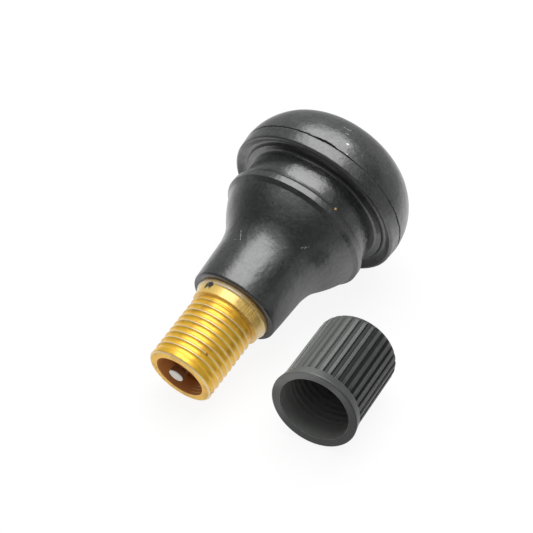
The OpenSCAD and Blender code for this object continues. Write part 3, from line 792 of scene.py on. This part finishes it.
def set_round(nodes, geometry, turns, radius, height):
    """Puts each point at a place round the axis, in turns, at a radius and at a height."""
    angle = turns * (2 * pi)
    sockets = {"X": radius * angle.math("COSINE"), "Y": radius * angle.math("SINE"), "Z": height}
    point = nodes.add("ShaderNodeCombineXYZ", {}, sockets)
    return nodes.add("GeometryNodeSetPosition", {}, {"Geometry": geometry, "Position": point})


def roll_up(nodes, grid, around, radius, height):
    """Rolls a grid round the axis and closes its seam."""
    rolled = set_round(nodes, grid, around, radius, height)
    return nodes.add("GeometryNodeMergeByDistance", {}, {"Geometry": rolled, "Distance": WELD})


def mark_crests(nodes, grid, rise):
    """Stores how close each point is to a crest, for the finish to read."""
    sockets = {"Geometry": grid, "Name": "crest", "Value": rise}
    return nodes.add("GeometryNodeStoreNamedAttribute", {"data_type": "FLOAT", "domain": "POINT"}, sockets)


def thread_tree():
    """Wall with a right-handed thread that runs out into plain rings at both ends."""
    lengths = (
        "Low", "High", "Root radius", "Crest radius", "Low radius", "High radius", "Low run-out",
        "High run-out", "Pitch", "Crest share", "Root share", "Hollow",
    )
    sockets = {name: LENGTH for name in lengths}
    sockets.update({"Columns": NUMBER, "Rows per pitch": NUMBER, "Finish": FINISH})
    tree, nodes, put = growth("Thread", sockets)
    pitch, low, high = put["Pitch"], put["Low"], put["High"]
    step = pitch / put["Rows per pitch"]
    rows = ((high - low + pitch) / step).math("CEIL")
    grid, around, along = polar_grid(nodes, put["Columns"], rows)
    # Rows climb by one pitch in each turn, so a turn's end meets the next turn's start
    climb = along * rows * step
    height = (low - pitch + climb + around * pitch).at_least(low).at_most(high)
    from_root = abs((climb / pitch).math("FRACT") - 0.5) * 2
    flank = 1 - put["Crest share"] - put["Root share"]
    rise = ((from_root - put["Root share"]) / flank).at_least(0).at_most(1) ** put["Hollow"]
    radius = put["Root radius"] + (put["Crest radius"] - put["Root radius"]) * rise
    low_ramp = (height - low).ramp(0, put["Low run-out"])
    high_ramp = (high - height).ramp(0, put["High run-out"])
    radius = put["Low radius"] + (radius - put["Low radius"]) * low_ramp
    radius = put["High radius"] + (radius - put["High radius"]) * high_ramp
    marked = mark_crests(nodes, grid, rise * low_ramp * high_ramp)
    grown(nodes, roll_up(nodes, marked, around, radius, height), put["Finish"])
    return tree


def rib_tree():
    """Ribbed wall of the cap, from the collar to the edge of its closed end."""
    lengths = (
        "Low", "High", "Low radius", "High radius", "Rounding", "Rib depth", "Rib share", "Flank share",
        "Wall share",
    )
    sockets = {name: LENGTH for name in lengths}
    sockets.update({"Ribs": NUMBER, "Columns per rib": NUMBER, "Rows": NUMBER, "Finish": FINISH})
    tree, nodes, put = growth("Ribs", sockets)
    grid, around, along = polar_grid(nodes, put["Ribs"] * put["Columns per rib"], put["Rows"])
    straight = (along / put["Wall share"]).at_most(1)
    rounded = ((along - put["Wall share"]) / (1 - put["Wall share"])).at_least(0) * (pi / 2)
    corner = put["High"] - put["Rounding"]
    height = put["Low"] + (corner - put["Low"]) * straight + put["Rounding"] * rounded.math("SINE")
    upright = put["Low radius"] + (put["High radius"] - put["Low radius"]) * straight
    crest = upright - put["Rounding"] * (1 - rounded.math("COSINE"))
    from_middle = abs((around * put["Ribs"] + 0.5).math("FRACT") - 0.5) * 2
    rise = from_middle.ramp(put["Rib share"] + put["Flank share"], put["Rib share"])
    # The grooves run straight on until the rounding of the closed end dips below them
    groove = (upright - put["Rib depth"]).at_most(crest)
    radius = groove + (crest - groove) * rise
    marked = mark_crests(nodes, grid, rise * (crest - groove) / put["Rib depth"])
    grown(nodes, roll_up(nodes, marked, around, radius, height), put["Finish"])
    return tree


def coil_tree():
    """Compression spring with one closed turn at each end."""
    sockets = {name: LENGTH for name in ("Low", "High", "Coil radius", "Wire radius")}
    sockets.update({"Turns": NUMBER, "Points per turn": NUMBER, "Wire sides": NUMBER, "Finish": FINISH})
    tree, nodes, put = growth("Coil", sockets)
    wire_r = put["Wire radius"]
    wire_d = wire_r * 2
    path = nodes.add("GeometryNodeCurvePrimitiveLine")
    points = {"Curve": path, "Count": put["Turns"] * put["Points per turn"] + 1}
    path = nodes.add("GeometryNodeResampleCurve", {}, points)
    turned = nodes.add("GeometryNodeSplineParameter") * put["Turns"]
    low, high = put["Low"] + wire_r, put["High"] - wire_r
    closed = turned.at_most(1) + (turned - put["Turns"] + 1).at_least(0)
    opened = (turned - 1).at_least(0).at_most(put["Turns"] - 2)
    height = low + closed * wire_d + opened * (high - low - 2 * wire_d) / (put["Turns"] - 2)
    path = set_round(nodes, path, turned, put["Coil radius"], height)
    circle = {"Resolution": put["Wire sides"], "Radius": wire_r}
    section = nodes.add("GeometryNodeCurvePrimitiveCircle", {}, circle)
    tube = {"Curve": path, "Profile Curve": section, "Fill Caps": True}
    grown(nodes, nodes.add("GeometryNodeCurveToMesh", {}, tube), put["Finish"])
    return tree


# Pieces

def stem_seat(sizes):
    """Outline of the stem inside the rubber, from the flange down to the foot's lower edge."""
    top = FACE_Z - sizes.flange_seat
    foot_top = FOOT_Z + sizes.foot_h
    root_r, foot_r = sizes.root_d / 2, sizes.foot_d / 2
    bond_pitch = (top - foot_top) / (sizes.bond_count + 1)
    seat = [(sizes.flange_d / 2, FACE_Z), (sizes.flange_d / 2, top), (root_r, top)]
    for i in range(1, sizes.bond_count + 1):
        middle = top - i * bond_pitch
        upper, lower = middle + sizes.bond_w / 2, middle - sizes.bond_w / 2
        bond_r = root_r - sizes.bond_depth
        seat += [(root_r, upper), (bond_r, upper), (bond_r, lower), (root_r, lower)]
    return seat + [(root_r, foot_top), (foot_r, foot_top), (foot_r, FOOT_Z)]


# Rows of the head's dome, and how much closer they lie next to the parting line
DOME_ROWS, DOME_CLOSENESS = 60, 1.7


def rubber_outline(sizes):
    """Outer outline of the rubber, from the flange round the head to the air hole."""
    neck_r, head_r, lip_r = sizes.neck_d / 2, sizes.head_d / 2, sizes.lip_d / 2
    bell_r, root_r, end_r = sizes.bell_d / 2, sizes.sleeve_root_d / 2, sizes.sleeve_end_d / 2
    shelf_r, flat_r, hole_r = sizes.shelf_d / 2, sizes.end_flat_d / 2, sizes.air_hole_d / 2
    edge = sizes.edge_round
    ridge_z, bell_z = sizes.groove_w, sizes.groove_w + sizes.ridge_w
    sleeve_z = bell_z + sizes.bell_h
    band_z = ridge_z + sizes.ridge_band_w
    slope_z = band_z + sizes.ridge_slope_h
    swell = bell_r - root_r
    bell = bend(
        (root_r, sleeve_z), (root_r + swell * 0.16, sleeve_z - sizes.bell_h * 0.54),
        (bell_r - swell * 0.54, bell_z + sizes.bell_h * 0.58), (bell_r, slope_z), 30,
    )
    # The ridge has a square flank with a notch at its foot, a flat band, and a slope down to the bell
    ridge_r, ridge_edge = sizes.ridge_d / 2, sizes.ridge_round
    ridge = crisp([bell[-2], bell[-1], (ridge_r, band_z), (ridge_r, ridge_z + ridge_edge)], 0.025 * MM)
    ridge.insert(-1, (ridge_r, ridge_z + ridge_edge + 0.03 * MM))
    ridge += arc((ridge_r - ridge_edge, ridge_z + ridge_edge), ridge_edge, 0, -90)[1:]
    notch_r, notch_z = neck_r - sizes.notch_depth, ridge_z - sizes.notch_w
    notch = [(notch_r, ridge_z), (notch_r, ridge_z - sizes.notch_w * 0.3), (neck_r, notch_z)]
    hollow = bend(
        (shelf_r, -sizes.shelf_h), (shelf_r + sizes.shelf_h, -sizes.hollow_h * 4 / 3),
        (lip_r - 3 * edge, -sizes.hollow_h), (lip_r - edge, 0), 18,
    )
    # Rows lie at most about 0.04 mm apart next to the parting line, where the crack runs
    parting = (head_r, -sizes.parting_h)
    side = line((lip_r, -edge), parting, 30)
    head_h = -HEAD_END_Z
    dome_w, dome_h = head_r - flat_r, head_h - sizes.parting_h
    dome = []
    for i in range(DOME_ROWS + 1):
        a = pi / 2 * (i / DOME_ROWS) ** DOME_CLOSENESS
        dome.append((flat_r + dome_w * cos(a), -sizes.parting_h - dome_h * sin(a)))
    outline = [(end_r - edge - 0.2 * MM, FACE_Z)]
    outline += arc((end_r - edge, FACE_Z - edge), edge, 90, 0)
    outline += line((end_r, FACE_Z - edge), (root_r, sleeve_z), 10) + bell[:-1] + ridge[1:] + notch
    outline += line((neck_r, notch_z), (neck_r, edge - sizes.shelf_h), 6)
    outline += arc((neck_r + edge, edge - sizes.shelf_h), edge, 180, 270) + hollow[:-1]
    outline += arc((lip_r - edge, -edge), edge, 90, 0) + side
    parting_row = len(outline)
    outline += dome + [(flat_r * 0.8, -head_h), (hole_r + edge, -head_h)]
    outline += arc((hole_r + edge, edge - head_h), edge, 270, 180)[1:]
    return outline, parting_row


def wander(angle, scale, seed):
    """Slow noise round the axis, from -1 to 1, the same on each run."""
    return np.array([noise.noise(Vector((cos(a) * scale, sin(a) * scale, seed))) for a in angle])


def from_angle(angle, middle, span):
    """Distance round the axis from a middle angle, where 1 is one span away."""
    return np.abs((angle - middle + pi) % (2 * pi) - pi) / span


def crack_depth(sizes, from_parting, angle):
    """How deep the parting line's crack is at each row and column."""
    away = from_angle(angle, sizes.tear_at, sizes.tear_reach)
    tear = np.clip(1 - away, 0, 1) ** 0.7 * (1 + 0.5 * wander(angle, 14, 2.2) + 0.5 * wander(angle, 45, 6.3))
    faint = 1 - 0.7 * np.exp(-from_angle(angle, sizes.faint_at, sizes.faint_reach) ** 2)
    half = sizes.crack_w * (1 + 0.5 * wander(angle, 9, 5.1)) + sizes.tear_w * tear
    middle = 0.05 * MM * wander(angle, 6, 8.4) + 0.06 * MM * wander(angle, 23, 1.3)
    middle += 0.5 * sizes.tear_w * tear
    depth = sizes.crack_depth * faint * (1 + 0.6 * wander(angle, 11, 3.7)) + sizes.tear_depth * tear
    inside = 1 - np.abs(from_parting[:, None] - middle) / half
    return depth * np.clip(inside, 0, 1) ** 0.6


class MakeRubberBody(bpy.types.Operator):
    """Makes the moulded rubber body, with the crack along its parting line"""

    bl_idname = "tyre_valve.rubber_body"
    bl_label = "Rubber body"

    def execute(self, context):
        sizes, stem = context.scene.tyre_valve_rubber, context.scene.tyre_valve_stem
        outline, parting_row = rubber_outline(sizes)
        made = rings(outline, sizes.columns)
        steps = np.linalg.norm(np.diff(np.array(outline), axis=0), axis=1)
        run = np.concatenate(([0], np.cumsum(steps)))
        angle = np.arange(sizes.columns) * 2 * pi / sizes.columns
        inwards = crack_depth(sizes, run - run[parting_row], angle)
        # Moulded rubber is never quite true: the surface wanders a little, always inwards
        for row, column in np.ndindex(made.shape[:2]):
            swing = noise.noise(Vector(made[row, column] / sizes.uneven_w))
            inwards[row, column] += sizes.unevenness * (0.5 + 0.5 * swing)
        radius = np.hypot(made[..., 0], made[..., 1])
        made[..., :2] *= (1 - inwards / radius)[..., None]
        seat = stem_seat(stem)
        inner = rings([(sizes.air_hole_d / 2, FOOT_Z)] + seat[::-1], sizes.columns)
        whole = np.concatenate((made, inner, made[:1]))
        body = weld("rubber_body_moulded", [wall(whole)], VALVE, finish("rubber"), 50)
        fit_out(body, "valve", "rubber_body")
        return {"FINISHED"}


class MakeBrassStem(bpy.types.Operator):
    """Makes the turned brass stem, with the cap thread outside and the core thread inside"""

    bl_idname = "tyre_valve.brass_stem"
    bl_label = "Brass stem"

    def execute(self, context):
        sizes = context.scene.tyre_valve_stem
        brass = finish("brass")
        thread = thread_tree()
        flange_r, core_r, air_r = sizes.flange_d / 2, sizes.core_bore_d / 2, sizes.air_bore_d / 2
        root_r, relief_r = THREAD_R - sizes.thread_depth, THREAD_R - sizes.relief_depth
        thread_z = TIP_Z - sizes.thread_h
        relief_z = thread_z - sizes.relief_w
        lead_z = TIP_Z - sizes.lead_h
        lead_r, mouth_r = THREAD_R - 0.06 * MM, sizes.mouth_d / 2
        cone_top = TIP_Z - sizes.core_bore_h
        mouth_z = TIP_Z - sizes.mouth_h
        core_thread_z = mouth_z - sizes.core_thread_h
        outside = {
            "Low": thread_z, "High": lead_z, "Root radius": root_r, "Crest radius": THREAD_R,
            "Low radius": relief_r, "High radius": lead_r, "Low run-out": 0.3 * MM,
            "High run-out": 0.5 * MM, "Pitch": sizes.pitch, "Crest share": 0.06, "Root share": 0,
            "Hollow": 2.4, "Columns": sizes.columns, "Rows per pitch": 20, "Finish": brass,
        }
        inside = {
            "Low": core_thread_z, "High": mouth_z, "Root radius": core_r + sizes.core_thread_depth,
            "Crest radius": core_r, "Low radius": core_r, "High radius": core_r, "Low run-out": 0.6 * MM,
            "High run-out": 0.4 * MM, "Pitch": sizes.core_pitch, "Crest share": 0.2, "Root share": 0.2,
            "Hollow": 1, "Columns": sizes.columns, "Rows per pitch": 12, "Finish": brass,
        }
        rim_r = THREAD_R - sizes.tip_round
        tip = [(core_r, mouth_z), (mouth_r, TIP_Z)] + line((mouth_r, TIP_Z), (rim_r, TIP_Z), 6)
        tip += arc((rim_r, TIP_Z - sizes.tip_round), sizes.tip_round, 90, 20)
        tip += [(lead_r, lead_z)]
        shoulder_z = relief_z - sizes.shoulder_h
        shoulder = crisp([
            (relief_r, thread_z), (relief_r, relief_z), (sizes.shoulder_d / 2, relief_z),
            (sizes.shoulder_root_d / 2, shoulder_z + sizes.flange_slope_h),
            (flange_r, shoulder_z), (flange_r, FACE_Z),
        ], 0.03 * MM)
        bore = [(sizes.foot_d / 2, FOOT_Z), (air_r, FOOT_Z), (air_r, cone_top - sizes.cone_h)]
        bore += [(core_r, cone_top), (core_r, core_thread_z)]
        walls = [wall(rings(part, sizes.columns)) for part in (tip, shoulder + stem_seat(sizes), bore)]
        walls += [mesh_from(thread, outside), mesh_from(thread, inside)]
        turned = VALVE @ Matrix.Rotation(sizes.thread_turn, 4, "Z")
        stem = weld("brass_stem_turned", walls, turned, brass, 50)
        fit_out(stem, "valve", "brass_stem")
        return {"FINISHED"}


class MakeCore(bpy.types.Operator):
    """Finishes the plug, the barrel, the cup and the seals of the valve core"""

    bl_idname = "tyre_valve.core"
    bl_label = "Valve core"

    def execute(self, context):
        finishes = {
            "core_plug": "core_brass", "core_barrel": "core_brass", "plunger_cup": "core_brass",
            "barrel_gasket": "seal", "plunger_seal": "seal",
        }
        for node, name in finishes.items():
            for held in frame["nodes"][node].material_slots:
                held.material = finish(name)
        return {"FINISHED"}


class MakeCorePin(bpy.types.Operator):
    """Makes the core's pin, whose pressed head sits a little off its axis"""

    bl_idname = "tyre_valve.core_pin"
    bl_label = "Core pin"

    def execute(self, context):
        sizes = context.scene.tyre_valve_core
        pin_r, head_r, stop_r = sizes.pin_d / 2, sizes.pin_head_d / 2, sizes.stop_d / 2
        neck_z = PIN_TOP_Z - sizes.pin_head_h
        rivet_z = PIN_LOW_Z + sizes.rivet_h
        stop_z = SPRING_HIGH_Z + sizes.stop_play
        edge, chamfer, doming = 0.1 * MM, 0.08 * MM, 0.01 * MM
        head = [(0, PIN_TOP_Z), (head_r * 0.5, PIN_TOP_Z - doming)]
        head += arc((head_r - edge, PIN_TOP_Z - edge), edge, 85, 0)
        head += [(head_r, neck_z + chamfer), (head_r - chamfer, neck_z), (pin_r + edge, neck_z)]
        shank = [(pin_r, neck_z - edge)]
        shank += [(pin_r, stop_z + sizes.stop_h), (stop_r, stop_z + sizes.stop_h)]
        shank += [(stop_r, stop_z), (pin_r, stop_z), (pin_r, rivet_z), (stop_r, rivet_z)]
        shank += arc((stop_r - sizes.rivet_h, rivet_z), sizes.rivet_h, 0, -90)[1:] + [(0, PIN_LOW_Z)]
        aside = sizes.head_offset * np.array((cos(sizes.head_offset_at), sin(sizes.head_offset_at), 0))
        whole = np.concatenate((rings(head, sizes.columns) + aside, rings(shank, sizes.columns)))
        pin = weld("core_pin_pressed", [wall(whole)], VALVE, finish("steel"), 40)
        fit_out(pin, "pin", "core_pin")
        return {"FINISHED"}


class MakeCoreSpring(bpy.types.Operator):
    """Winds the spring that closes the valve"""

    bl_idname = "tyre_valve.core_spring"
    bl_label = "Core spring"

    def execute(self, context):
        sizes = context.scene.tyre_valve_core
        steel = finish("steel")
        coil = {
            "Low": SPRING_LOW_Z, "High": SPRING_HIGH_Z, "Coil radius": (sizes.spring_d - sizes.wire_d) / 2,
            "Wire radius": sizes.wire_d / 2, "Turns": sizes.spring_turns, "Points per turn": 48,
            "Wire sides": 12, "Finish": steel,
        }
        spring = weld("core_spring_coil", [mesh_from(coil_tree(), coil)], VALVE, steel, 60)
        fit_out(spring, "valve", "core_spring")
        long = SPRING_HIGH_Z - SPRING_LOW_Z
        keep = (long - max(PRESS["range_m"])) / long
        TO_TIP * SPRING_LOW_Z
        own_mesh(spring)
        return {"FINISHED"}


class MakeCap(bpy.types.Operator):
    """Makes the ribbed plastic cap, with its collar and the thread inside"""

    bl_idname = "tyre_valve.cap"
    bl_label = "Cap"

    def execute(self, context):
        sizes = context.scene.tyre_valve_cap
        plastic = finish("cap")
        columns = sizes.rib_count * sizes.columns_per_rib
        collar_r, collar_top_r, edge = sizes.collar_d / 2, sizes.collar_top_d / 2, sizes.collar_round
        lip = sizes.mouth_round
        thread_end = CAP_BORE_H - 0.5 * MM
        ribs = {
            "Low": sizes.collar_h, "High": CAP_H, "Low radius": sizes.rib_d / 2,
            "High radius": sizes.rib_end_d / 2, "Rounding": sizes.end_round, "Rib depth": sizes.rib_depth,
            "Rib share": sizes.rib_share, "Flank share": sizes.flank_share, "Wall share": 0.3,
            "Ribs": sizes.rib_count, "Columns per rib": sizes.columns_per_rib, "Rows": 30, "Finish": plastic,
        }
        thread = {
            "Low": sizes.thread_start, "High": thread_end, "Root radius": CAP_BORE_R,
            "Crest radius": CAP_BORE_R - sizes.thread_depth, "Low radius": CAP_BORE_R,
            "High radius": CAP_BORE_R, "Low run-out": 0.7 * MM, "High run-out": 0.7 * MM,
            "Pitch": sizes.pitch, "Crest share": 0.25, "Root share": 0.35, "Hollow": 1,
            "Columns": columns, "Rows per pitch": 8, "Finish": plastic,
        }
        bore = [(CAP_BORE_R, sizes.thread_start)] + arc((CAP_BORE_R + lip, lip), lip, 180, 270, 4)
        bore += line(bore[-1], (collar_r - edge, 0), 8)
        collar = arc((collar_r - edge, edge), edge, -90, 0)
        collar += line(collar[-1], (collar_top_r, sizes.collar_h - edge), 8)
        collar += arc((collar_top_r - edge, sizes.collar_h - edge), edge, 0, 90)
        floor = [(CAP_BORE_R, thread_end), (CAP_BORE_R - 0.2 * MM, CAP_BORE_H), (0, CAP_BORE_H)]
        ribbed = mesh_from(rib_tree(), ribs)
        low, high = rib_edges(ribbed, columns)
        step = np.concatenate((rings(collar[-1:], columns), low))
        end = np.concatenate((high, rings([(sizes.rib_end_d / 4, CAP_H), (0, CAP_H)], columns)))
        walls = [wall(rings(bore + collar, columns)), wall(rings(floor, columns)), wall(step), wall(end)]
        cap = weld("cap_ribbed", walls + [ribbed, mesh_from(thread_tree(), thread)], CAP, plastic, 30)
        fit_out(cap, "valve", "cap")
        return {"FINISHED"}


def rib_edges(ribbed, columns):
    """The ribbed wall's lowest and highest rings, in order round the axis."""
    points = np.array([vertex.co for vertex in ribbed.vertices])
    ends = []
    for level in (points[:, 2].min(), points[:, 2].max()):
        ring = points[np.abs(points[:, 2] - level) < WELD]
        angle = np.arctan2(ring[:, 1], ring[:, 0]) % (2 * pi)
        order = np.argsort(np.round(angle * columns / (2 * pi)) % columns)
        if len(order) != columns:
            raise RuntimeError("the ribbed wall's edge is not one ring")
        ends.append(ring[order][None])
    return ends


# Where the studio's lights stand, as seen from the valve, and the camera's sensor in millimetres
SOFTBOX_FROM = Vector((-0.08, 0.27, 0.96)).normalized()
BEHIND_LEFT = Vector((-0.5, 0.85, 0.15))
RIGHT = Vector((0.9, 0.42, 0))
SENSOR_W = 36


class MakeStage(bpy.types.Operator):
    """Sets the floor, the softbox, the room's light and the camera"""

    bl_idname = "tyre_valve.stage"
    bl_label = "Stage"

    def execute(self, context):
        scene, stage = context.scene, context.scene.tyre_valve_stage
        scene.view_settings.view_transform = "Standard"
        self.floor(scene, stage)
        self.softbox(scene, stage)
        self.room(scene, stage)
        self.camera(scene, stage)
        return {"FINISHED"}

    def floor(self, scene, stage):
        side, level = stage.floor_size / 2, CAD_BOX[0].z
        mesh = bpy.data.meshes.new("floor")
        corners = [(-side, -side, level), (side, -side, level), (side, side, level), (-side, side, level)]
        mesh.from_pydata(corners, [], [(0, 1, 2, 3)])
        mesh.materials.append(finish("floor"))
        floor = bpy.data.objects.new("floor", mesh)
        scene.collection.objects.link(floor)

    def softbox(self, scene, stage):
        light = bpy.data.lights.new("softbox", "AREA")
        light.shape = "RECTANGLE"
        light.size, light.size_y = stage.softbox_w, stage.softbox_l
        light.energy = stage.softbox_power
        lamp = bpy.data.objects.new("softbox", light)
        lamp.location = Vector(stage.aim) + SOFTBOX_FROM * stage.softbox_height
        lamp.rotation_euler = SOFTBOX_FROM.to_track_quat("Z", "Y").to_euler()
        scene.collection.objects.link(lamp)

    def room(self, scene, stage):
        world = bpy.data.worlds.new("room")
        world.use_nodes = True
        world.node_tree.nodes.clear()
        nodes = Nodes(world.node_tree)
        direction = nodes.add("ShaderNodeTexCoord", out="Generated")
        behind = nodes.dot(direction, BEHIND_LEFT).ramp(0.15, 1)
        rise = nodes.dot(direction, UP)
        high, low = rise.ramp(0.6, 0.82), rise.ramp(0.42, 0.12)
        front = stage.front + (stage.front_top - stage.front) * high
        side = nodes.dot(direction, RIGHT).ramp(0.4, 0.95) * low * stage.side
        level = front + (stage.back - front) * behind + side
        light = nodes.add("ShaderNodeBackground", {}, {"Color": (1, 1, 1, 1), "Strength": level})
        nodes.add("ShaderNodeOutputWorld", {}, {"Surface": light})
        scene.world = world

    def camera(self, scene, stage):
        camera = bpy.data.cameras.new("camera")
        camera.lens = stage.lens
        camera.sensor_width = SENSOR_W
        camera.clip_start = 0.01
        flat = cos(stage.elevation)
        back = Vector((sin(stage.azimuth) * flat, -cos(stage.azimuth) * flat, sin(stage.elevation)))
        holder = bpy.data.objects.new("camera", camera)
        holder.location = Vector(stage.aim) + back * stage.distance
        holder.rotation_euler = back.to_track_quat("Z", "Y").to_euler()
        scene.collection.objects.link(holder)
        scene.camera = holder


PIECES = (MakeRubberBody, MakeBrassStem, MakeCore, MakeCorePin, MakeCoreSpring, MakeCap, MakeStage)
SETTINGS = {
    "tyre_valve_rubber": RubberSizes, "tyre_valve_stem": StemSizes, "tyre_valve_core": CoreSizes,
    "tyre_valve_cap": CapSizes, "tyre_valve_finishes": Finishes, "tyre_valve_stage": StageSettings,
}


class ValvePanel(bpy.types.Panel):
    """Lists the pieces of the tyre valve, with their sizes"""

    bl_idname = "VIEW3D_PT_tyre_valve"
    bl_label = "Tyre valve"
    bl_space_type = "VIEW_3D"
    bl_region_type = "UI"
    bl_category = "Tyre valve"

    def draw(self, context):
        for piece in PIECES:
            self.layout.operator(piece.bl_idname)
        for name, group in SETTINGS.items():
            box = self.layout.box()
            box.label(text=group.__name__)
            for field in group.__annotations__:
                box.prop(getattr(context.scene, name), field)


def register():
    for group in SETTINGS.values():
        bpy.utils.register_class(group)
    for name, group in SETTINGS.items():
        setattr(bpy.types.Scene, name, PointerProperty(type=group))
    for shown in PIECES + (ValvePanel,):
        bpy.utils.register_class(shown)


def unregister():
    for shown in reversed(PIECES + (ValvePanel,)):
        bpy.utils.unregister_class(shown)
    for name, group in SETTINGS.items():
        delattr(bpy.types.Scene, name)
        bpy.utils.unregister_class(group)


def main():
    register()
    for piece in PIECES:
        group, name = piece.bl_idname.split(".")
        getattr(getattr(bpy.ops, group), name)()


if __name__ == "__main__":
    main()
